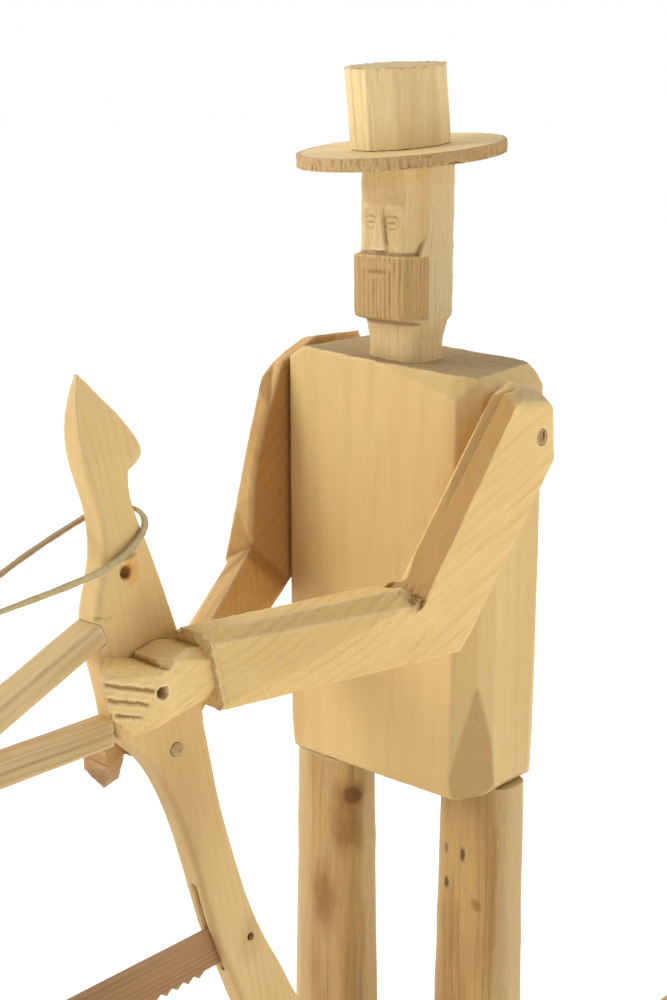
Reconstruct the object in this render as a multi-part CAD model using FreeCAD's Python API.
import FreeCAD, Part
import math
import os
from FreeCAD import Placement, Rotation, Vector

# A wooden whirligig: a carved man works a frame saw in a log while the wind turns a propeller.
#
# Places are measured from the collar point, the centre of the torso's top: +X is the figure's left,
# the figure faces -Y, +Z is up.  At the end every piece moves by COLLAR, which puts the origin on the
# swivel axis at the top of the mounting post.  All sizes are in millimetres.

# The figure
TORSO_WIDTH = 76.0
TORSO_Y = (-17.0, 23.0)
TORSO_HEIGHT = 136.0
TORSO_TOP = ((0, 0, 0.2), (0.055, 0, 1))
LEG_HEIGHT = 158.0
LEG_X = 25.0
LEG_Y = {1: 8.0, -1: -7.2}
LEG_SIZE = (28.0, 16.0)
HEAD_HEIGHT = 60.0
HEAD_HALF = 11.5
EYE_Z = 41.5
MOUTH_Z = 26.8
BRIM_RADIUS = 31.8
BRIM_THICK = 4.0
CROWN_RADIUS = 15.3
CROWN_HEIGHT = 24.0
HAT_TILT = (6.0, -0.8)
SHOULDER = Vector(0, 0, -19.5)
SHOULDER_DOWEL_RADIUS = 2.5
ARM_INNER_X = 38.4
ARM_OUTER_X = 50.0

# The saw, whose frame is symmetrical about the plane y = SAW_MIDDLE above the blade
SAW_MIDDLE = -178.0
CHEEK_HALF = 4.5
HAND_GAP = 0.4
STRETCHER_HALF = 3.75
STRETCHER_Z = (-90.3, -83.0)
BLADE_HALF = 0.8
BLADE_Z = (-172.6, -159.8)
TOOTH_PITCH = 4.3
TOOTH_DEPTH = 1.6
LEFT_PIN = Vector(0, -122.8, -72.8)
RIGHT_PEG = Vector(0, -106.4, -97.5)
BLADE_PIN = Vector(0, -78.6, -166.3)
CORD_RADIUS = 1.25

# The deck and what stands on it
DECK_TOP = -TORSO_HEIGHT - LEG_HEIGHT
DECK_THICK = 18.0
DECK_HALF_WIDTH = 45.0
DECK_Y = (-326.0, 60.0)
LOG_CENTRE = Vector(0, SAW_MIDDLE, -176.0)
LOG_RADIUS = 22.0
LOG_HALF_LENGTH = 65.0
KERF_HALF = 1.4
BUCK_X = 42.0
BUCK_ANGLE = math.radians(38.0)
BUCK_LEG = 10.0

# The drive
SHAFT_Z = -256.0
SHAFT_RADIUS = 1.6
CRANK_THROW = 12.0
LINK_PIVOT = Vector(0, -266.0, -143.0)
LINK_RADIUS = 1.0
LINK_SIDE = 6.9
POST_Y = (-316.0, -286.0)
POST_THICK = 12.0
HUB_Y = -342.0
HUB_THICK = 18.0
HUB_RADIUS = 14.0
BLADE_RADIUS = 92.0
BLADE_PITCH = 40.0
BLADE_COUNT = 4

# The swivel and the tail
PIVOT_Y = -120.0
BLOCK_HEIGHT = 28.0
STEM_RADIUS = 4.0
SPINDLE_RADIUS = 3.5
SPINDLE_IN_POST = 45.0
NUT_HEIGHT = 5.0
RUNNING = 0.05
BOOM_Y = (-94.0, 292.0)
VANE_Y = (186.0, 290.0)

DECK_UNDER = DECK_TOP - DECK_THICK
BLOCK_UNDER = DECK_UNDER - BLOCK_HEIGHT
FLANGE_THICK = 1.5
POST_TOP = BLOCK_UNDER - FLANGE_THICK - 1.0 - NUT_HEIGHT
COLLAR = Vector(0, -PIVOT_Y, -POST_TOP)

X, Y, Z = Vector(1, 0, 0), Vector(0, 1, 0), Vector(0, 0, 1)
FAR = 1500.0

os.makedirs("parts", exist_ok=True)


# ---- tools of the trade -------------------------------------------------------------------------

def box(x, y, z):
    """A block between the pairs of limits x, y and z."""
    return Part.makeBox(x[1] - x[0], y[1] - y[0], z[1] - z[0], Vector(x[0], y[0], z[0]))


def rod(start, end, radius):
    """A round rod from one point to another."""
    return Part.makeCylinder(radius, (end - start).Length, start, end - start)


def cone(start, end, r_start, r_end):
    return Part.makeCone(r_start, r_end, (end - start).Length, start, end - start)


def across(x0, x1, y, z, radius):
    """A round rod along X."""
    return rod(Vector(x0, y, z), Vector(x1, y, z), radius)


def side_prism(outline, x0, x1):
    """A (y, z) outline, extruded from x0 to x1."""
    points = [Vector(x0, y, z) for y, z in outline]
    return Part.Face(Part.makePolygon(points + points[:1])).extrude(X * (x1 - x0))


def plan_prism(outline, z0, z1):
    """An (x, y) outline, extruded from z0 to z1."""
    points = [Vector(x, y, z0) for x, y in outline]
    return Part.Face(Part.makePolygon(points + points[:1])).extrude(Z * (z1 - z0))


def loft(*sections):
    """A solid of flat triangular facets through rings that have the same number of corners."""
    rings = [[Vector(*p) for p in s] for s in sections]
    count = len(rings[0])
    triangles = [(rings[0][0], rings[0][k], rings[0][k + 1]) for k in range(1, count - 1)]
    triangles += [(rings[-1][0], rings[-1][k + 1], rings[-1][k]) for k in range(1, count - 1)]
    for low, high in zip(rings, rings[1:]):
        for k in range(count):
            a, b, c, d = low[k], low[(k + 1) % count], high[(k + 1) % count], high[k]
            triangles += [(a, c, b), (a, d, c)]
    faces = [Part.Face(Part.makePolygon([a, b, c, a])) for a, b, c in triangles]
    solid = Part.Solid(Part.Shell(faces))
    if solid.Volume < 0:
        solid.reverse()
    return solid.removeSplitter()


def knife(shape, *cuts):
    """Flat knife cuts: each takes away what lies beyond the plane with that point and that normal."""
    for point, normal in cuts:
        waste = Part.makeBox(FAR, FAR, FAR, Vector(-FAR / 2, -FAR / 2, 0))
        waste.Placement = Placement(Vector(*point), Rotation(Z, Vector(*normal)))
        shape = shape.cut(waste)
    return shape


def smooth_side(runs, half):
    """A closed (y, z) outline of smooth curves that meet at corners, as thick as 2 * half."""
    edges = []
    for run in runs:
        curve = Part.BSplineCurve()
        curve.interpolate([Vector(-half, y, z) for y, z in run])
        edges.append(curve.toShape())
    return Part.Face(Part.Wire(edges)).extrude(X * (2 * half))


def rounded_path(points, share=0.45):
    """Straight runs through the points, joined by tangent arcs as large as the runs allow."""
    edges, start = [], points[0]
    for before, corner, after in zip(points, points[1:], points[2:]):
        a, b = corner - before, after - corner
        turn = a.getAngle(b)
        radius = share * min(a.Length, b.Length) / math.tan(turn / 2)
        back = radius * math.tan(turn / 2)
        first = corner - a * (back / a.Length)
        last = corner + b * (back / b.Length)
        inward = (b * (1 / b.Length) - a * (1 / a.Length)).normalize()
        middle = corner + inward * (radius / math.cos(turn / 2) - radius)
        edges += [Part.LineSegment(start, first).toShape(), Part.Arc(first, middle, last).toShape()]
        start = last
    edges.append(Part.LineSegment(start, points[-1]).toShape())
    return Part.Wire(edges)


def wire_along(points, radius, share=0.45):
    """A round wire or cord bent along the points."""
    path = rounded_path(points, share)
    section = Part.Wire(Part.makeCircle(radius, points[0], points[1] - points[0]))
    return path.makePipeShell([section], True, True)


def joined(*shapes):
    return shapes[0].multiFuse(list(shapes[1:])).removeSplitter()


def pieces(*shapes):
    return Part.makeCompound(list(shapes))


def mirrored_saw(points):
    """The same (y, z) points on the front half of the saw."""
    return [(2 * SAW_MIDDLE - y, z) for y, z in points]


def screw(head, direction, length, radius=1.4, head_radius=2.8):
    """A countersunk wood screw whose head lies flush at that place."""
    way = Vector(direction).normalize()
    shank = rod(head, head + way * length, radius)
    tip = cone(head + way * length, head + way * (length + 3), radius, 0.3)
    sink = cone(head, head + way * (head_radius - radius), head_radius, radius)
    slot_across = Z if abs(way.z) < 0.5 else X
    slot = Part.makeBox(0.7, 2 * head_radius, 1.6, Vector(-0.35, -head_radius, -0.8))
    slot.Placement = Placement(head, Rotation(slot_across, Y, way, "ZXY"))
    return joined(shank, tip, sink).cut(slot)


def hexagon(centre, axis, across_flats, height):
    """A hexagonal nut blank that starts at the centre and runs along the axis."""
    corner = across_flats / math.sqrt(3)
    blank = Part.makePolygon([Vector(corner * math.cos(k * math.pi / 3),
                                     corner * math.sin(k * math.pi / 3), 0) for k in range(7)])
    nut = Part.Face(blank).extrude(Z * height)
    nut.Placement = Placement(centre, Rotation(Z, axis))
    return nut


# ---- the figure ---------------------------------------------------------------------------------

def make_torso():
    w, (front, back) = TORSO_WIDTH / 2, TORSO_Y
    hem = -TORSO_HEIGHT
    body = box((-w, w), TORSO_Y, (hem, 3))
    body = knife(
        body, TORSO_TOP,
        # the upright corners: a broad chamfer beside the near arm, narrow ones elsewhere
        ((w, front + 8, 0), (1, -0.95, 0)), ((w, front + 12, -40), (1, -0.30, 0)),
        ((w, front + 8, hem), (1, -1.0, -0.07)), ((w, back - 6, 0), (1, 0.7, 0)),
        ((-w, back - 5, 0), (-1, 0.9, 0)), ((-w, front + 1.6, 0), (-1, -1, 0)),
        ((-w, front + 9, 0), (-1, -0.08, 0.02)),
        # the shoulders: the far one is bevelled a little, the near one falls in facets
        ((-w + 7.5, 0, 2.0), (-0.53, 0, 0.85)), ((w, 0, -9), (1, 0.15, 0.75)),
        ((w - 9, front, -4.5), (0.4, -0.75, 0.8)),
        # the front top edge: a shallow cut under the chin, and a deeper one towards the near shoulder
        ((-4, front, 0.3), (0.12, -1, 0.44)), ((21, front, -2.5), (0.38, -1, 0.54)),
        ((0, back, -1.5), (0, 0.8, 1)), ((w - 6, back, -5), (0.5, 0.8, 0.9)),
        # the hem of the coat
        ((0, front, hem + 2), (0, -1, -0.7)), ((w, 0, hem + 3), (1, 0, -0.8)),
        ((-w, 0, hem + 2.5), (-1, 0, -0.8)), ((0, back, hem + 2), (0, 1, -0.8)),
        ((w, front, hem + 10), (1, -1.3, -0.5)),
    )
    bore = across(-w - 1, w + 1, SHOULDER.y, SHOULDER.z, SHOULDER_DOWEL_RADIUS + RUNNING)
    sockets = [leg_dowel(side) for side in (-1, 1)]
    return body.cut(pieces(bore, neck_dowel(), *sockets))


def neck_dowel():
    return rod(Vector(0, -4, -14), Vector(0, -4, 10), 4.0)


def leg_dowel(side):
    x, y = side * LEG_X, LEG_Y[side]
    return rod(Vector(x, y, -TORSO_HEIGHT - 18), Vector(x, y, -TORSO_HEIGHT + 16), 4.0)


def make_leg(side):
    """A leg of natural wood: rounded-square sections that flare and wander a little."""
    def section(z, grow, dx, dy):
        w, d = LEG_SIZE[0] / 2 + grow, LEG_SIZE[1] / 2 + grow
        c = 1.8 + grow
        corners = [(w, -d + c), (w, d - c), (w - c, d), (-w + c, d), (-w, d - c), (-w, -d + c), (-w + c, -d),
                   (w - c, -d)]
        return [(side * (LEG_X + dx) + x, LEG_Y[side] + dy + y, z) for x, y in corners]
    top, foot = -TORSO_HEIGHT, DECK_TOP
    leg = loft(section(top, 0, 0, 0), section(top - 32, 0.3, -0.3, -0.4), section(top - 78, 0.7, 0.3, 0.2),
               section(top - 120, 1.2, 0.6, 0.4), section(foot, 2.0, 0.8, 0))
    return leg.cut(pieces(leg_dowel(side), *leg_screws(side)))


def leg_screws(side):
    places = [Vector(side * LEG_X + x, LEG_Y[side], DECK_UNDER) for x in (-6, 6)]
    return [screw(p, (0, 0, 1), DECK_THICK + 20, 1.8, 3.6) for p in places]


def make_head():
    """One block, a little narrower at the crown, with the face left proud of the neck."""
    h = HEAD_HALF
    skull = plan_prism([(-h, 8), (-h, -12.0), (-3.4, -17.0), (3.4, -17.0), (h, -12.0), (h, 8)], -2, HEAD_HEIGHT)
    seat, up = TORSO_TOP
    skull = knife(
        skull, (seat, [-c for c in up]),
        ((h, 5.5, 0), (1, 1.0, 0)), ((-h, 5.5, 0), (-1, 1.0, 0)),
        ((0, -16.6, HEAD_HEIGHT), (0, -1, 0.01)),
        ((h - 0.6, 0, HEAD_HEIGHT), (1, 0, 0.02)), ((-h + 0.6, 0, HEAD_HEIGHT), (-1, 0, 0.02)),
    )
    # the face between the hair: planed back to the temples, with the nose left as a flat strip
    nose_half, face_top, face_foot = 2.9, HEAD_HEIGHT + 1, 31.5
    for s in (-1, 1):
        plane = plan_prism([(s * nose_half, -20), (s * nose_half, -15.9), (s * (h - 0.9), -9.4),
                            (s * (h - 0.9), -5.5), (s * (h + 2), -5.5), (s * (h + 2), -20)], face_foot, face_top)
        cheekbone = rod(Vector(s * (h + 4), -15.0, face_foot + 1.5), Vector(s * 4.0, -20.0, face_foot + 1.5), 6.5)
        skull = skull.cut(plane.cut(cheekbone))
    # the forehead lies back from the nose, and the lip from its tip
    profile = [(-20, 33.4), (-17.0, 33.4), (-15.4, 45.5), (-14.5, 47.0), (-14.5, 62), (-20, 62)]
    skull = skull.cut(side_prism(profile, -3.3, 3.3))
    skull = skull.cut(box((-3.2, 3.2), (-20, -15.6), (face_foot - 0.2, face_foot + 1.6)))
    # the beard ends above the neck
    under = plan_prism([(-20, -20), (-20, -6.0), (20, -6.0), (20, -20)], -1, 12)
    under = knife(under, ((0, -13, 12), (0, 0.25, 1)))
    neck = rod(Vector(0, -2.4, -1), Vector(0, -2.4, 14), 11.6)
    skull = skull.cut(under.cut(neck))
    skull = knife(skull, ((h, -4, 5), (1, 0.1, -0.42)), ((-h, -4, 5), (-1, 0.1, -0.42)),
                  ((0, 8, 6), (0, 1, -0.3)))
    skull = skull.cut(pieces(*beard_grooves(), *eye_hollows(), mouth_slit()))
    return skull.cut(pieces(neck_dowel(), hat_dowel()))


def beard_grooves():
    """Upright V grooves that are cut round the beard, from the moustache down."""
    grooves = []
    count = 17
    for k in range(count):
        u = (k + 0.5) / count * 2 - 1
        if abs(u) < 0.32:
            x, y, normal = u * HEAD_HALF, -17.0, Vector(0, -1, 0)
        else:
            s = math.copysign(1, u)
            t = (abs(u) - 0.32) / 0.68
            x, y = s * (3.4 + t * 8.1), -17.0 + t * 5.0
            normal = Vector(s * 0.525, -0.851, 0)
        foot = 12.6 + 1.1 * math.sin(5.3 * k)
        top = 30.2 + 0.8 * math.sin(3.1 * k + 1)
        side = Vector(-normal.y, normal.x, 0) * 0.42
        base, inner = Vector(x, y, foot) + normal * 0.4, Vector(x, y, foot) - normal * 0.55
        wire = Part.makePolygon([base + side, base - side, inner, base + side])
        grooves.append(Part.Face(wire).extrude(Z * (top - foot)))
    return grooves


def eye_hollows():
    """Each eye is a shallow almond, at half the height of the head."""
    hollows = []
    for s in (-1, 1):
        centre = Vector(s * 6.0, -13.3, EYE_Z)
        into = Vector(-s * 0.645, 0.764, 0)
        lids = [rod(centre - into * 1.5 + Z * dz, centre + into * 0.45 + Z * dz, 2.4) for dz in (-1.4, 1.4)]
        hollows.append(lids[0].common(lids[1]))
    return hollows


def mouth_slit():
    """A level line in the beard, a third of the way from the nose to the chin."""
    return across(-3.2, 3.2, -17.1, MOUTH_Z, 0.45)


def hat_tilt(shape):
    """The hat sits a little askew on the head."""
    shape.rotate(Vector(0, -5, HEAD_HEIGHT), Vector(1, 0, 0), HAT_TILT[0])
    shape.rotate(Vector(0, -5, HEAD_HEIGHT), Vector(0, 1, 0), HAT_TILT[1])
    return shape


def make_brim():
    brim = rod(Vector(0, -6, HEAD_HEIGHT), Vector(0, -6, HEAD_HEIGHT + BRIM_THICK), BRIM_RADIUS)
    brim = hat_tilt(brim)
    brim = brim.cut(box((-20, 20), (-25, 15), (HEAD_HEIGHT - 5, HEAD_HEIGHT)))
    return brim.cut(hat_dowel())


def make_crown():
    """A whittled round block with flats of uneven width."""
    z0, z1 = HEAD_HEIGHT + BRIM_THICK, HEAD_HEIGHT + BRIM_THICK + CROWN_HEIGHT
    widths = [1.0, 0.8, 1.3, 0.9, 1.2, 0.7, 1.1, 1.4, 0.8, 1.0, 1.2, 0.9, 1.1]
    total, angle, corners = sum(widths), 0.0, []
    for width in widths:
        corners.append((math.cos(angle), math.sin(angle)))
        angle += 2 * math.pi * width / total
    low = [(CROWN_RADIUS * c, -6 + CROWN_RADIUS * s, z0) for c, s in corners]
    high = [((CROWN_RADIUS + 0.4) * c, -6 + (CROWN_RADIUS + 0.4) * s, z1) for c, s in corners]
    return hat_tilt(loft(low, high)).cut(hat_dowel())


def hat_dowel():
    z = HEAD_HEIGHT
    return rod(Vector(0, -5, z - 14), Vector(0, -5, z + BRIM_THICK + 12), 3.0)


# ---- the arms -----------------------------------------------------------------------------------

def make_left_arm():
    """Bent at the elbow; the forearm turns inwards to a hand on the near face of the saw's cheek."""
    inner, outer = ARM_INNER_X, ARM_OUTER_X
    upper = loft([(inner, y, z) for y, z in [(-10, -6.5), (-2, -3.6), (9, -7.5), (14, -21), (6, -41), (-33, -78),
                                             (-51, -54)]],
                 [(outer, y, z) for y, z in [(-23, -5.6), (-8, -4.2), (4.0, -7.5), (11.4, -22), (1, -41.8), (-38, -76.4),
                                             (-59, -56.6)]])
    upper = knife(
        upper,
        ((outer - 4.5, -8, -4), (0.5, -0.35, 1)), ((outer - 1.2, 10.2, -24), (1, 0.75, 0.15)),
        ((outer, 4, -10), (0.5, 0.75, 0.8)), ((outer - 0.8, -2, -38), (1, 0.7, -0.62)),
        ((outer, -25, -9), (0.9, -1, 0.9)), ((outer - 0.6, -41, -31), (1, -0.75, 0.55)),
    )
    fore = loft([(inner, -24, -42), (44, -26, -42), (outer, -26, -44), (outer, -18, -54), (44, -17, -56),
                 (inner, -16, -56)],
                [(inner, -51, -53.8), (46, -57, -53.2), (outer - 0.4, -59.4, -57.4), (outer, -38, -76.2),
                 (45, -35.5, -78.2), (inner, -33, -77.6)],
                [(9.0, -109.6, -60.0), (17.4, -109.4, -59.8), (20.4, -108.6, -63.0), (20.2, -104.6, -82.2),
                 (18.4, -104.2, -83.6), (8.0, -103.6, -82.6)])
    arm = joined(upper, fore, left_hand())
    bore = across(ARM_INNER_X - 1, ARM_OUTER_X + 1, SHOULDER.y, SHOULDER.z, SHOULDER_DOWEL_RADIUS)
    return arm.cut(pieces(bore, left_pin_hole()))


def left_hand():
    inner = CHEEK_HALF + HAND_GAP
    hand = loft([(8.0, -102, -61.5), (18.8, -104, -62.0), (18.8, -100, -80.6), (8.0, -100, -80.4)],
                [(inner, -112, -61.4), (17.8, -112, -62.0), (17.8, -110, -79.8), (inner, -110, -79.6)],
                [(inner, -124, -61.0), (18.4, -124, -61.2), (18.0, -123, -83.4), (inner, -123, -83.4)],
                [(inner, -138.5, -61.8), (17.0, -140.8, -60.2), (16.0, -133.0, -83.2), (inner, -131.5, -82.6)])
    hand = knife(
        hand,
        ((18.4, -124, -64), (1, -0.12, 0.42)), ((17.4, -124, -80), (1, 0, -0.55)),
        ((16.4, -139.0, -64), (0.85, -1, 0.1)), ((14.6, -141.0, -61.6), (0.3, -1, 0.9)),
        ((inner + 2, -137.4, -70), (-0.5, -1, 0)),
    )
    # the thumb: a small wedge with a nick behind it
    thumb = loft([(7.0, -117, -62.5), (13.0, -117, -62.5), (13.0, -131, -61.8), (7.0, -131, -61.8)],
                 [(8.0, -118.5, -59.2), (12.4, -118.5, -59.6), (12.4, -124.5, -58.0), (8.0, -124.5, -57.8)])
    fingers = []
    for z, depth, start in ((-66.6, 1.5, -125.0), (-71.6, 1.5, -124.6), (-76.4, 1.5, -125.2)):
        groove = loft([(19.5, start, z + 1.7), (19.5, start, z - 1.7), (17.6 - depth, start, z)],
                      [(17.4, -145, z + 2.2), (17.4, -145, z - 2.2), (15.4 - depth, -145, z)])
        end_groove = loft([(19.5, -145.0, z + 1.3), (19.5, -145.0, z - 1.3), (19.5, -137.6 + (z + 66) * -0.35, z)],
                          [(4.0, -145.0, z + 1.3), (4.0, -145.0, z - 1.3), (4.0, -135.2 + (z + 66) * -0.35, z)])
        fingers += [groove, end_groove]
    relief = box((0, CHEEK_HALF + 1.8), (-150, -125), (-66.5, -50))
    return joined(hand, thumb).cut(pieces(relief, *fingers))


def left_pin_hole():
    pressed = across(0, 12, LEFT_PIN.y, LEFT_PIN.z, 1.5)
    return joined(pressed, across(11.9, 25, LEFT_PIN.y, LEFT_PIN.z, 1.6))


def make_left_hand_pin():
    return across(-CHEEK_HALF + 0.5, 11.9, LEFT_PIN.y, LEFT_PIN.z, 1.5)


def make_right_arm():
    """Its shoulder stands a little higher; its hand lies lower, on the far face of the cheek."""
    inner, outer = -ARM_INNER_X, -ARM_OUTER_X
    upper = loft([(inner, y, z) for y, z in [(-18.3, -4.3), (-10, -1.0), (-2, 2.6), (19, 2.2), (23, -6), (20, -26),
                                             (10, -48), (-4, -70), (-15.5, -77.9), (-33, -64), (-31.6, -43),
                                             (-28.7, -31.2), (-24.4, -18.5)]],
                 [(-45.5, y, z) for y, z in [(-16, -5.5), (-9, -2), (-1, 1.2), (17, 1.0), (21, -6), (19, -26),
                                             (9, -48), (-4, -71), (-15.5, -80), (-38.5, -67), (-33.2, -50),
                                             (-29.5, -28), (-24, -12.5)]],
                 [(outer, y, z) for y, z in [(-10, -8), (-6, -6), (0, -4), (13, -4), (16, -9), (14, -26),
                                             (5, -48), (-6, -70), (-16, -78), (-33.5, -70), (-28.5, -50),
                                             (-25, -28.4), (-19, -14)]])
    fore = loft([(inner, -24, -52), (-44, -24, -52), (outer, -20, -56), (outer, -8, -72), (-44, -8, -74),
                 (inner, -8, -73)],
                [(inner, -33, -62.5), (-44, -37.5, -66), (outer + 1, -34, -70), (outer + 1, -16, -79.5),
                 (-44, -15, -80.5), (inner, -15.5, -77.9)],
                [(-8, -95, -84.6), (-14, -95.5, -84.8), (-19.4, -94, -88), (-19.2, -90, -98), (-15, -89, -100),
                 (-8, -89, -99.4)])
    arm = joined(upper, fore, right_hand())
    bore = across(-ARM_OUTER_X - 1, -ARM_INNER_X + 1, SHOULDER.y, SHOULDER.z, SHOULDER_DOWEL_RADIUS)
    return arm.cut(pieces(bore, right_peg_body()))


def right_hand():
    """The palm, and a block of curled fingers that hangs lower at its end."""
    inner = -CHEEK_HALF - HAND_GAP
    palm = loft([(-8.0, -86, -86.4), (-18, -86, -86.6), (-18, -84, -99.0), (-8.0, -84, -99.0)],
                [(inner, -97, -86.6), (-17, -97, -86.8), (-17, -96, -101.0), (inner, -96, -101.0)],
                [(inner, -118, -89.0), (-16.4, -118, -89.4), (-16.4, -115, -99.6), (inner, -115, -99.6)])
    fist = loft([(inner, -117, -90), (-17, -108.8, -90), (-17, -122.8, -92), (inner - 0.6, -124, -92)],
                [(inner, -117.5, -99.6), (-17, -108.8, -104.6), (-16.8, -122.4, -104.6), (inner - 0.6, -123.4, -101)],
                [(-9.5, -116.5, -106), (-15.8, -110.4, -110.8), (-15.2, -116.6, -112), (-9.5, -119.5, -106)])
    grooves = []
    for z in (-95.6, -100.4, -105.2):
        front = -123.2 + max(0.0, -104.6 - z) * 0.8
        grooves.append(loft([(-22, -130, z + 3.2), (-22, -130, z - 3.2), (-22, front + 1.5, z)],
                            [(0, -130, z + 3.2), (0, -130, z - 3.2), (0, front + 1.5, z)]))
        grooves.append(loft([(-20, -108, z + 1.6), (-20, -108, z - 1.6), (-15.8, -108, z)],
                            [(-20, -130, z + 1.6), (-20, -130, z - 1.6), (-15.2, -130, z)]))
    return joined(palm, fist).cut(pieces(*grooves))


def right_peg_body():
    return across(-13, CHEEK_HALF, RIGHT_PEG.y, RIGHT_PEG.z, 1.9)


def make_right_peg():
    """A whittled peg whose blunt end stands just out of the near face."""
    head = cone(Vector(CHEEK_HALF, RIGHT_PEG.y, RIGHT_PEG.z), Vector(CHEEK_HALF + 1.2, RIGHT_PEG.y, RIGHT_PEG.z),
                1.9, 1.2)
    return joined(right_peg_body(), head)


def make_shoulder_dowel():
    reach = ARM_OUTER_X - 0.3
    return across(-reach, reach, SHOULDER.y, SHOULDER.z, SHOULDER_DOWEL_RADIUS)


# ---- the saw ------------------------------------------------------------------------------------

CHEEK_FRONT = [(-133.0, 10.4), (-134.9, 3.0), (-135.2, -6.0), (-133.3, -16.0), (-130.4, -25.0), (-129.1, -34.0),
               (-130.2, -43.0), (-132.9, -53.7), (-130.9, -68.0), (-128.4, -79.0), (-126.5, -87.0),
               (-117.0, -98.0), (-109.4, -109.5), (-102.9, -125.5), (-97.8, -142.0), (-93.0, -158.5),
               (-84.1, -181.4)]
CHEEK_HANDLE = [(-77.0, -199.0), (-68.0, -217.0), (-58.5, -225.0), (-48.5, -221.0), (-47.5, -211.0),
                (-55.4, -198.3)]
CHEEK_BACK = [(-64.3, -182.2), (-71.6, -168.9), (-79.4, -151.0), (-84.9, -134.4), (-89.4, -118.6), (-92.6, -103.7),
              (-95.8, -89.0), (-99.8, -75.0), (-104.3, -62.0), (-110.0, -46.5), (-115.5, -32.9), (-119.6, -20.0),
              (-119.4, -16.2)]
CHEEK_BEAK = [(-119.4, -16.2), (-116.4, -14.4), (-114.9, -12.2), (-115.9, -8.7), (-119.2, -4.2), (-127.4, 4.7),
              (-133.0, 10.4)]
CHEEK_EDGE = 2.2


def cheek_blank(outline_runs):
    """The upright with its long edges rounded."""
    blank = smooth_side(outline_runs, CHEEK_HALF)
    rims = [e for e in blank.Edges if all(abs(abs(v.X) - CHEEK_HALF) < 0.01 for v in e.Vertexes)
            and abs(e.Vertexes[0].X - e.Vertexes[-1].X) < 0.01]
    return blank.makeFillet(CHEEK_EDGE, rims)


def blade_end(top, low):
    """The slanting end of the blade, parallel to the back of the cheek, as (y, z) of its two corners."""
    return [(-79.4 - (top - BLADE_Z[1]) * 0.47, top), (-79.4 - (low - BLADE_Z[1]) * 0.47, low)]


def blade_slot(front):
    """The open saw cut that holds the blade's end in an upright."""
    (y_top, top), (y_low, low) = blade_end(-143.7, -176.0)
    outline = [(-112, top), (y_top + 0.3, top), (y_low + 0.3, low), (-112, low)]
    return side_prism(mirrored_saw(outline) if front else outline, -BLADE_HALF - 0.05, BLADE_HALF + 0.05)


def make_rear_cheek():
    """The upright nearer the figure: beaked top, swelling at the hands, long handle."""
    cheek = cheek_blank([CHEEK_FRONT + CHEEK_HANDLE + CHEEK_BACK, CHEEK_BEAK])
    # the beaked top is pared thinner towards its point
    cheek = knife(cheek, ((CHEEK_HALF, -124, -12), (1, 0, 0.16)), ((-CHEEK_HALF, -124, -12), (-1, 0, 0.16)))
    holes = [across(-6, 6, LEFT_PIN.y, LEFT_PIN.z, 1.5), across(-6, 6, -122.6, -42.9, 1.6),
             across(-6, 6, RIGHT_PEG.y, RIGHT_PEG.z, 1.9), across(-6, 6, BLADE_PIN.y, BLADE_PIN.z, 1.0)]
    return cheek.cut(pieces(blade_slot(False), stretcher_blank(), brace_blank(), *holes))


def make_front_cheek():
    """The other upright ends just below the blade."""
    upper = [p for p in mirrored_saw(CHEEK_FRONT) if p[1] > -170]
    lower = mirrored_saw([(-89.0, -171.0), (-84.5, -181.0), (-78.0, -185.5), (-71.0, -181.0), (-72.5, -171.0)])
    back = [p for p in mirrored_saw(CHEEK_BACK) if p[1] > -168]
    cheek = cheek_blank([upper + lower + back, mirrored_saw(CHEEK_BEAK)])
    pin_y = 2 * SAW_MIDDLE - BLADE_PIN.y
    screw_hole = across(CHEEK_HALF - 8, CHEEK_HALF + 1, LINK_PIVOT.y, LINK_PIVOT.z, 1.2)
    return cheek.cut(pieces(blade_slot(True), stretcher_blank(), brace_blank(), screw_hole,
                            across(-6, 6, pin_y, BLADE_PIN.z, 1.0)))


def stretcher_blank():
    """A square bar with a flat tenon at each end."""
    length = (2 * SAW_MIDDLE + 127.6, -127.6)
    bar = box((-STRETCHER_HALF, STRETCHER_HALF), length, STRETCHER_Z)
    tenon = box((-1.8, 1.8), (length[0] - 10, length[1] + 10), (STRETCHER_Z[0] + 1, STRETCHER_Z[1] - 1))
    return joined(bar, tenon)


BRACE_TOP = Vector(0, -130.6, -57.6)
BRACE_SLOPE = math.radians(23.3)
BRACE_LENGTH = 123.0
BRACE_HALF_WIDTH = 4.9
BRACE_HALF_HEIGHT = 3.3


def brace_blank():
    """The diagonal, from the rear cheek's shoulder down to the front cheek."""
    bar = box((-BRACE_HALF_WIDTH, BRACE_HALF_WIDTH), (-BRACE_LENGTH, 0), (-BRACE_HALF_HEIGHT, BRACE_HALF_HEIGHT))
    bar = knife(bar, ((BRACE_HALF_WIDTH - 1.2, 0, BRACE_HALF_HEIGHT), (1, 0, 1)),
                ((-BRACE_HALF_WIDTH + 1.2, 0, BRACE_HALF_HEIGHT), (-1, 0, 1)),
                ((BRACE_HALF_WIDTH - 0.8, 0, -BRACE_HALF_HEIGHT), (1, 0, -1)),
                ((-BRACE_HALF_WIDTH + 0.8, 0, -BRACE_HALF_HEIGHT), (-1, 0, -1)))
    bar.rotate(Vector(), X, math.degrees(BRACE_SLOPE))
    bar.translate(BRACE_TOP)
    return bar


def lap_y():
    """Where the brace's middle crosses the stretcher's middle."""
    middle = (STRETCHER_Z[0] + STRETCHER_Z[1]) / 2
    return BRACE_TOP.y - (BRACE_TOP.z - middle) / math.tan(BRACE_SLOPE)


def make_stretcher():
    """Halved where the brace crosses it: its near half is cut away there."""
    near = box((0, 10), (lap_y() - 30, lap_y() + 30), (-200, 0))
    return stretcher_blank().cut(brace_blank().common(near))


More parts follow.
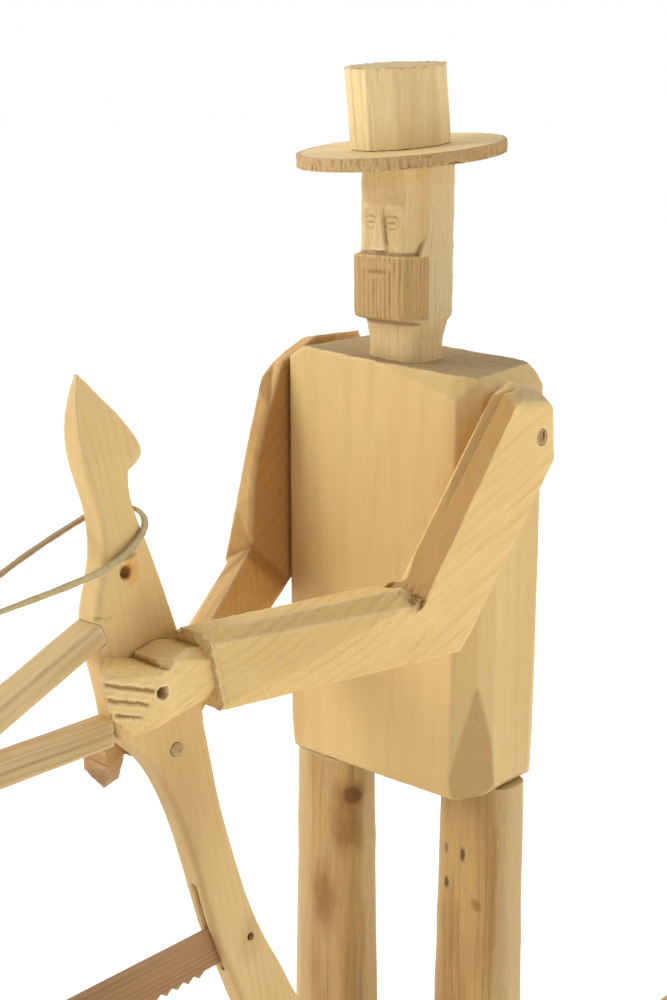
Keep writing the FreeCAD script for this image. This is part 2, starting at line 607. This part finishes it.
def make_brace():
    """Halved at the stretcher, and forked over the front edge of the rear cheek."""
    near = box((0, 10), (lap_y() - 30, lap_y() + 30), (-200, 0))
    brace = brace_blank().cut(stretcher_blank().cut(near))
    tongue_rear = box((-CHEEK_HALF + 1.5, CHEEK_HALF - 1.5), (-130.0, -100), (-80, -40))
    tongue_front = box((-CHEEK_HALF + 1.5, CHEEK_HALF - 1.5), (-270, 2 * SAW_MIDDLE + 112.0), (-140, -90))
    return brace.cut(pieces(tongue_rear, tongue_front))


def make_saw_blade():
    """A thin strip whose lower edge is toothed between the uprights."""
    low, high = BLADE_Z
    count = int((2 * (-94.0 - SAW_MIDDLE)) / TOOTH_PITCH)
    first = SAW_MIDDLE + count * TOOTH_PITCH / 2
    rear = blade_end(high, low)
    outline = mirrored_saw(rear[::-1]) + rear
    for k in range(count):
        y = first - k * TOOTH_PITCH
        outline += [(y, low), (y - TOOTH_PITCH / 2, low - TOOTH_DEPTH)]
    outline.append((first - count * TOOTH_PITCH, low))
    blade = side_prism(outline, -BLADE_HALF, BLADE_HALF)
    pins = [across(-3, 3, y, BLADE_PIN.z, 1.0) for y in (BLADE_PIN.y, 2 * SAW_MIDDLE - BLADE_PIN.y)]
    return blade.cut(pieces(*pins))


def make_blade_pin(front):
    y = 2 * SAW_MIDDLE - BLADE_PIN.y if front else BLADE_PIN.y
    return across(-CHEEK_HALF - 0.3, CHEEK_HALF + 0.3, y, BLADE_PIN.z, 1.0)


# The lace starts at the toggle, goes round the rear cheek, back past the toggle and round the front one.
CORD_ROUTE = [(1.6, -175.5, -46.4), (3.0, -160.0, -44.4), (4.8, -144.0, -42.4), (5.9, -130.5, -40.2),
              (6.1, -121.5, -36.4), (5.4, -115.6, -31.4), (0.0, -112.9, -28.6), (-5.4, -115.8, -27.2),
              (-6.2, -122.0, -27.6), (-5.7, -133.0, -30.4), (-4.4, -148.0, -34.6), (-2.9, -162.0, -39.4),
              (-1.6, -176.0, -43.0), (1.9, -196.0, -43.4), (4.6, -212.0, -41.8), (6.0, -226.0, -39.0),
              (6.2, -233.0, -35.8), (5.4, -239.6, -31.6), (0.0, -243.0, -29.4), (-5.4, -239.8, -30.0),
              (-6.1, -233.0, -31.8), (-5.7, -224.0, -34.4), (-4.6, -210.0, -38.6), (-2.9, -194.0, -43.0),
              (-1.7, -179.0, -46.8)]


def make_tension_cord():
    return wire_along([Vector(*p) for p in CORD_ROUTE], CORD_RADIUS)


def make_toggle():
    """A flat stick that is wound into the lace; its foot bears on the stretcher's near side."""
    stick = loft([(-1.7, -180.2, -33.0), (1.7, -180.2, -33.0), (1.7, -174.6, -33.0), (-1.7, -174.6, -33.0)],
                 [(2.6, -181.4, -70.0), (5.6, -181.4, -70.0), (5.6, -173.4, -70.0), (2.6, -173.4, -70.0)],
                 [(4.3, -180.8, -97.0), (7.3, -180.8, -97.0), (7.3, -174.0, -97.0), (4.3, -174.0, -97.0)])
    return knife(stick, ((0, -181.0, -93), (0, -1, -0.6)), ((0, -173.8, -93), (0, 1, -0.6))).cut(
        pieces(brace_blank(), make_tension_cord(), stretcher_blank()))


# ---- the log and the sawbuck --------------------------------------------------------------------

def make_log():
    """A round billet, lying along X, sawn half through."""
    log = loft(*[[(x, LOG_CENTRE.y + r * math.cos(a), LOG_CENTRE.z + r * math.sin(a))
                  for a, r in ((2 * math.pi * k / 24, LOG_RADIUS) for k in range(24))]
                 for x in (-LOG_HALF_LENGTH, LOG_HALF_LENGTH)])
    kerf = box((-KERF_HALF, KERF_HALF), (LOG_CENTRE.y - 40, LOG_CENTRE.y + 40), (BLADE_Z[0] - TOOTH_DEPTH - 2.4, 0))
    return log.cut(kerf)


def buck_crossing():
    """The height at which each pair of sawbuck legs crosses under the log."""
    return LOG_CENTRE.z - (LOG_RADIUS + BUCK_LEG / 2) / math.sin(BUCK_ANGLE)


def buck_leg_blank(side, lean):
    """A square leg through the crossing, from the deck to its horn."""
    x0 = side * BUCK_X
    bar = box((x0 - BUCK_LEG / 2, x0 + BUCK_LEG / 2), (-BUCK_LEG / 2, BUCK_LEG / 2), (-120, 56))
    bar.rotate(Vector(), X, -lean * math.degrees(BUCK_ANGLE))
    bar.translate(Vector(0, LOG_CENTRE.y, buck_crossing()))
    return knife(bar, ((0, 0, DECK_TOP), (0, 0, -1)))


def make_buck_leg(side, lean):
    """The legs of a pair are halved into each other and bored for the rail."""
    middle = side * BUCK_X
    kept = (middle, middle + 60) if lean > 0 else (middle - 60, middle)
    other = buck_leg_blank(side, -lean).common(box(kept, (-FAR, 0), (-FAR, 0)))
    return buck_leg_blank(side, lean).cut(pieces(other, make_buck_rail(), *buck_pegs(side, lean)))


def make_buck_rail():
    reach = BUCK_X + BUCK_LEG / 2 + 4
    return across(-reach, reach, LOG_CENTRE.y, buck_crossing(), 2.5)


def buck_pegs(side, lean):
    """A peg up through the deck into the foot of each leg."""
    drop = buck_crossing() - DECK_TOP
    y = LOG_CENTRE.y - lean * drop * math.tan(BUCK_ANGLE)
    return [rod(Vector(side * BUCK_X, y, DECK_UNDER), Vector(side * BUCK_X, y, DECK_TOP + 9), 2.0)]


# ---- the deck, the swivel and the tail ----------------------------------------------------------

def make_deck():
    deck = box((-DECK_HALF_WIDTH, DECK_HALF_WIDTH), DECK_Y, (DECK_UNDER, DECK_TOP))
    deck = deck.makeChamfer(1.6, deck.Edges)
    holes = [s for side in (-1, 1) for s in leg_screws(side)]
    holes += [p for side in (-1, 1) for lean in (-1, 1) for p in buck_pegs(side, lean)]
    holes += post_screws() + block_screws() + boom_screws() + [bushing_seat()]
    return deck.cut(pieces(*holes))


def bushing_seat():
    axis = Vector(0, PIVOT_Y, 0)
    top = DECK_TOP - DECK_THICK + 12
    return rod(axis + Z * (BLOCK_UNDER - 1), axis + Z * (top + 2), SPINDLE_RADIUS + 1.6)


def make_pivot_block():
    block = box((-22, 22), (PIVOT_Y - 26, PIVOT_Y + 26), (BLOCK_UNDER, DECK_UNDER))
    block = block.makeChamfer(2.0, [e for e in block.Edges if e.CenterOfMass.z < DECK_UNDER - 1])
    return block.cut(pieces(bushing_seat(), *block_screws()))


def block_screws():
    return [screw(Vector(x, PIVOT_Y + y, BLOCK_UNDER), (0, 0, 1), BLOCK_HEIGHT + 10)
            for x in (-15, 15) for y in (-18, 18)]


def make_pivot_bushing():
    """A flanged brass tube in the block and the deck."""
    axis = Vector(0, PIVOT_Y, 0)
    top = DECK_TOP - DECK_THICK + 12
    tube = rod(axis + Z * BLOCK_UNDER, axis + Z * top, SPINDLE_RADIUS + 1.6)
    flange = rod(axis + Z * (BLOCK_UNDER - FLANGE_THICK), axis + Z * BLOCK_UNDER, 9.5)
    bore = rod(axis + Z * (BLOCK_UNDER - 5), axis + Z * (top + 5), SPINDLE_RADIUS + RUNNING)
    return joined(tube, flange).cut(bore)


def make_thrust_plate():
    """The steel disc on which the spindle's top bears."""
    top = DECK_TOP - DECK_THICK + 12
    return rod(Vector(0, PIVOT_Y, top), Vector(0, PIVOT_Y, top + 2), SPINDLE_RADIUS + 1.6)


def make_spindle():
    """Its stem is driven into the post; its domed top carries the whole machine."""
    top = DECK_TOP - DECK_THICK + 12 - 0.1
    axis = Vector(0, PIVOT_Y, 0)
    stem = rod(axis + Z * (POST_TOP - SPINDLE_IN_POST), axis + Z * POST_TOP, STEM_RADIUS)
    shank = rod(axis + Z * POST_TOP, axis + Z * (top - 2.5), SPINDLE_RADIUS)
    dome = cone(axis + Z * (top - 2.5), axis + Z * top, SPINDLE_RADIUS, 2.0)
    return joined(stem, shank, dome)


def make_spindle_nut():
    axis = Vector(0, PIVOT_Y, POST_TOP)
    nut = hexagon(axis, Z, 13.0, NUT_HEIGHT)
    return nut.cut(rod(axis - Z, axis + Z * (NUT_HEIGHT + 1), SPINDLE_RADIUS))


def make_boom():
    """A narrow slat under the deck that carries the tail."""
    boom = box((-6, 6), BOOM_Y, (DECK_UNDER - 10, DECK_UNDER))
    slot = box((-1.5, 1.5), (VANE_Y[0], BOOM_Y[1] + 1), (DECK_UNDER - 6, DECK_UNDER + 1))
    boom = knife(boom, ((0, BOOM_Y[1] - 10, DECK_UNDER - 10), (0, 0.6, -1)))
    return boom.cut(pieces(slot, *boom_screws(), *vane_screws()))


def boom_screws():
    return [screw(Vector(0, y, DECK_UNDER - 10), (0, 0, 1), 20) for y in (-60, 40)]


def make_vane():
    """A thin board, cut to a swept tail."""
    y0, y1 = VANE_Y
    low, z = DECK_UNDER - 6, DECK_UNDER
    runs = [[(y0, low), (y1, low)], [(y1, low), (y1, z + 44)],
            [(y1, z + 44), (y1 - 6, z + 62), (y1 - 22, z + 72), (y1 - 40, z + 64), (y1 - 54, z + 48)],
            [(y1 - 54, z + 48), (y1 - 70, z + 28), (y1 - 86, z + 14), (y0, z + 6)], [(y0, z + 6), (y0, low)]]
    return smooth_side(runs, 1.5).cut(pieces(*vane_screws()))


def vane_screws():
    return [screw(Vector(6, y, DECK_UNDER - 3), (-1, 0, 0), 7.0, 1.0, 1.9) for y in (196, 236, 278)]


# ---- the drive ----------------------------------------------------------------------------------

def make_bearing_post(y):
    """A tapered upright with a rounded head, screwed on from below."""
    y0, y1 = y - POST_THICK / 2, y + POST_THICK / 2
    head = 10.0
    foot = [(-17, DECK_TOP), (17, DECK_TOP), (head, SHAFT_Z), (-head, SHAFT_Z)]
    points = [Vector(x, y0, z) for x, z in foot]
    post = Part.Face(Part.makePolygon(points + points[:1])).extrude(Y * (y1 - y0))
    post = joined(post, rod(Vector(0, y0, SHAFT_Z), Vector(0, y1, SHAFT_Z), head))
    bore = rod(Vector(0, y0 - 1, SHAFT_Z), Vector(0, y1 + 1, SHAFT_Z), 3.0)
    return post.cut(pieces(bore, *[s for s in post_screws() if abs(s.BoundBox.Center.y - y) < 5]))


def post_screws():
    return [screw(Vector(x, y, DECK_UNDER), (0, 0, 1), DECK_THICK + 9) for y in POST_Y for x in (-9, 9)]


def make_bushing(y):
    """A flanged brass tube for the shaft."""
    y0, y1 = y - POST_THICK / 2, y + POST_THICK / 2
    tube = rod(Vector(0, y0, SHAFT_Z), Vector(0, y1, SHAFT_Z), 3.0)
    flange = rod(Vector(0, y0 - 1, SHAFT_Z), Vector(0, y0, SHAFT_Z), 4.6)
    bore = rod(Vector(0, y0 - 3, SHAFT_Z), Vector(0, y1 + 3, SHAFT_Z), SHAFT_RADIUS + RUNNING)
    return joined(tube, flange).cut(bore)


def make_crankshaft():
    """One bent rod: the shaft, a crank arm that hangs at rest, and the crank pin."""
    arm_y, pin_end = LINK_PIVOT.y - 7.6, LINK_PIVOT.y - LINK_RADIUS - 0.5
    low = SHAFT_Z - CRANK_THROW
    route = [Vector(0, -362.0, SHAFT_Z), Vector(0, arm_y, SHAFT_Z), Vector(0, arm_y, low), Vector(0, pin_end, low)]
    return wire_along(route, SHAFT_RADIUS, 0.28)


def make_hub():
    """A turned wooden hub with a slanting slot for each blade."""
    y0, y1 = HUB_Y - HUB_THICK / 2, HUB_Y + HUB_THICK / 2
    hub = rod(Vector(0, y0, SHAFT_Z), Vector(0, y1, SHAFT_Z), HUB_RADIUS)
    hub = hub.makeChamfer(2.0, [e for e in hub.Edges if e.Length > 2 * HUB_RADIUS * 3])
    bore = rod(Vector(0, y0 - 1, SHAFT_Z), Vector(0, y1 + 1, SHAFT_Z), SHAFT_RADIUS)
    return hub.cut(pieces(bore, *blade_nails(), *[propeller_blade(k) for k in range(BLADE_COUNT)]))


def propeller_blade(number):
    """A thin paddle, set in the hub at its pitch, as one of four about the shaft."""
    outline = [(-5.0, 6.5), (5.0, 6.5), (6.0, 22), (15, 44), (17, 74), (12, BLADE_RADIUS - 2), (0, BLADE_RADIUS),
               (-12, BLADE_RADIUS - 2), (-17, 74), (-15, 44), (-6.0, 22)]
    points = [Vector(x, -1.25, z) for x, z in outline]
    paddle = Part.Face(Part.makePolygon(points + points[:1])).extrude(Y * 2.5)
    paddle.rotate(Vector(), Z, BLADE_PITCH)
    paddle.rotate(Vector(), Y, 45 + number * 360 / BLADE_COUNT)
    paddle.translate(Vector(0, HUB_Y, SHAFT_Z))
    return paddle.cut(pieces(*blade_nails()))


def blade_nails():
    """One brad through the hub's face into the root of each blade."""
    nails = []
    for k in range(BLADE_COUNT):
        nail = rod(Vector(0, -HUB_THICK / 2 - 0.4, 10.5), Vector(0, 4, 10.5), 0.6)
        nail = joined(nail, rod(Vector(0, -HUB_THICK / 2 - 0.7, 10.5), Vector(0, -HUB_THICK / 2, 10.5), 1.2))
        nail.rotate(Vector(), Y, 45 + k * 360 / BLADE_COUNT)
        nail.translate(Vector(0, HUB_Y, SHAFT_Z))
        nails.append(nail)
    return nails


def ring(y0, y1, outer, inner=SHAFT_RADIUS):
    """A washer or collar on the shaft."""
    outside = rod(Vector(0, y0, SHAFT_Z), Vector(0, y1, SHAFT_Z), outer)
    return outside.cut(rod(Vector(0, y0 - 1, SHAFT_Z), Vector(0, y1 + 1, SHAFT_Z), inner))


def make_hub_washers():
    front, back = HUB_Y - HUB_THICK / 2, HUB_Y + HUB_THICK / 2
    return pieces(ring(front - 0.8, front, 5.0), ring(back, back + 0.8, 5.0))


def make_hub_nuts():
    """A nut on each side of the hub clamps it to the threaded end of the shaft."""
    front, back = HUB_Y - HUB_THICK / 2 - 0.8, HUB_Y + HUB_THICK / 2 + 0.8
    bore = rod(Vector(0, front - 20, SHAFT_Z), Vector(0, back + 20, SHAFT_Z), SHAFT_RADIUS)
    return pieces(hexagon(Vector(0, front - 2.6, SHAFT_Z), Y, 7.0, 2.6).cut(bore),
                  hexagon(Vector(0, back, SHAFT_Z), Y, 7.0, 2.6).cut(bore))


def make_shaft_collars():
    """A collar before the front bushing and one behind the rear one keep the shaft in place."""
    front = POST_Y[0] - POST_THICK / 2 - 1.0
    rear = POST_Y[1] + POST_THICK / 2
    return pieces(ring(front - 3.4, front - 0.3, 4.2), ring(rear + 0.3, rear + 2.4, 4.2))


def eye(centre, axis, wire_radius, hole):
    """A closed eye of bent wire."""
    return Part.makeTorus(hole + wire_radius, wire_radius, centre, axis)


def make_link():
    """A bent wire with an eye on the screw of the front cheek and an eye for the crank pin."""
    top = LINK_PIVOT + X * LINK_SIDE
    foot = Vector(0, LINK_PIVOT.y, SHAFT_Z - CRANK_THROW)
    upper, lower = 1.4, SHAFT_RADIUS + 0.3
    route = [top - Z * (upper + LINK_RADIUS), Vector(LINK_SIDE, top.y, foot.z + 22),
             Vector(0, top.y, foot.z + 12), foot + Z * (lower + LINK_RADIUS)]
    return joined(wire_along(route, LINK_RADIUS), eye(top, X, LINK_RADIUS, upper), eye(foot, Y, LINK_RADIUS, lower))


def make_link_screw():
    """A round-headed screw in the near side of the front cheek."""
    y, z = LINK_PIVOT.y, LINK_PIVOT.z
    shank = joined(across(CHEEK_HALF - 8, CHEEK_HALF + 0.2, y, z, 1.2), across(CHEEK_HALF, 9.0, y, z, 1.32))
    head = Part.makeSphere(2.6, Vector(8.6, y, z)).common(box((8.6, 12), (y - 5, y + 5), (z - 5, z + 5)))
    slot = box((10.4, 12), (y - 0.35, y + 0.35), (z - 4, z + 4))
    return joined(shank, head).cut(slot)


# ---- the list of pieces -------------------------------------------------------------------------

NODES = {
    "torso": make_torso, "head": make_head, "hat_brim": make_brim, "hat_crown": make_crown,
    "hat_dowel": hat_dowel, "neck_dowel": neck_dowel,
    "leg_dowels": lambda: pieces(leg_dowel(-1), leg_dowel(1)),
    "left_leg": lambda: make_leg(1), "right_leg": lambda: make_leg(-1),
    "leg_screws": lambda: pieces(*leg_screws(-1), *leg_screws(1)),
    "left_arm": make_left_arm, "right_arm": make_right_arm, "shoulder_dowel": make_shoulder_dowel,
    "left_hand_pin": make_left_hand_pin, "right_hand_peg": make_right_peg,
    "rear_cheek": make_rear_cheek, "front_cheek": make_front_cheek, "stretcher": make_stretcher,
    "brace": make_brace, "saw_blade": make_saw_blade,
    "rear_blade_pin": lambda: make_blade_pin(False), "front_blade_pin": lambda: make_blade_pin(True),
    "tension_cord": make_tension_cord, "toggle": make_toggle,
    "link_screw": make_link_screw, "connecting_link": make_link,
    "log": make_log, "buck_rail": make_buck_rail,
    "buck_pegs": lambda: pieces(*[p for s in (-1, 1) for lean in (-1, 1) for p in buck_pegs(s, lean)]),
    "base_board": make_deck, "pivot_block": make_pivot_block,
    "block_screws": lambda: pieces(*block_screws()),
    "pivot_bushing": make_pivot_bushing, "thrust_plate": make_thrust_plate,
    "pivot_spindle": make_spindle, "spindle_nut": make_spindle_nut,
    "tail_boom": make_boom, "boom_screws": lambda: pieces(*boom_screws()),
    "tail_vane": make_vane, "vane_screws": lambda: pieces(*vane_screws()),
    "front_bearing_post": lambda: make_bearing_post(POST_Y[0]),
    "rear_bearing_post": lambda: make_bearing_post(POST_Y[1]),
    "front_bushing": lambda: make_bushing(POST_Y[0]), "rear_bushing": lambda: make_bushing(POST_Y[1]),
    "post_screws": lambda: pieces(*post_screws()),
    "crankshaft": make_crankshaft, "propeller_hub": make_hub, "hub_washers": make_hub_washers,
    "hub_nuts": make_hub_nuts, "shaft_collars": make_shaft_collars,
    "blade_nails": lambda: pieces(*blade_nails()),
}
for number in range(BLADE_COUNT):
    NODES[f"propeller_blade_{number + 1}"] = lambda number=number: propeller_blade(number)
for side, side_name in ((1, "left"), (-1, "right")):
    for lean, lean_name in ((1, "front_foot"), (-1, "rear_foot")):
        NODES[f"buck_leg_{side_name}_{lean_name}"] = lambda side=side, lean=lean: make_buck_leg(side, lean)

for name, make in NODES.items():
    shape = make()
    shape.translate(COLLAR)
    if not shape.isValid():
        print("not valid:", name)
    shape.exportStep(f"parts/{name}.step")
    print(f"{name}: {len(shape.Solids)} solid(s), {shape.Volume / 1000:.2f} cm3")
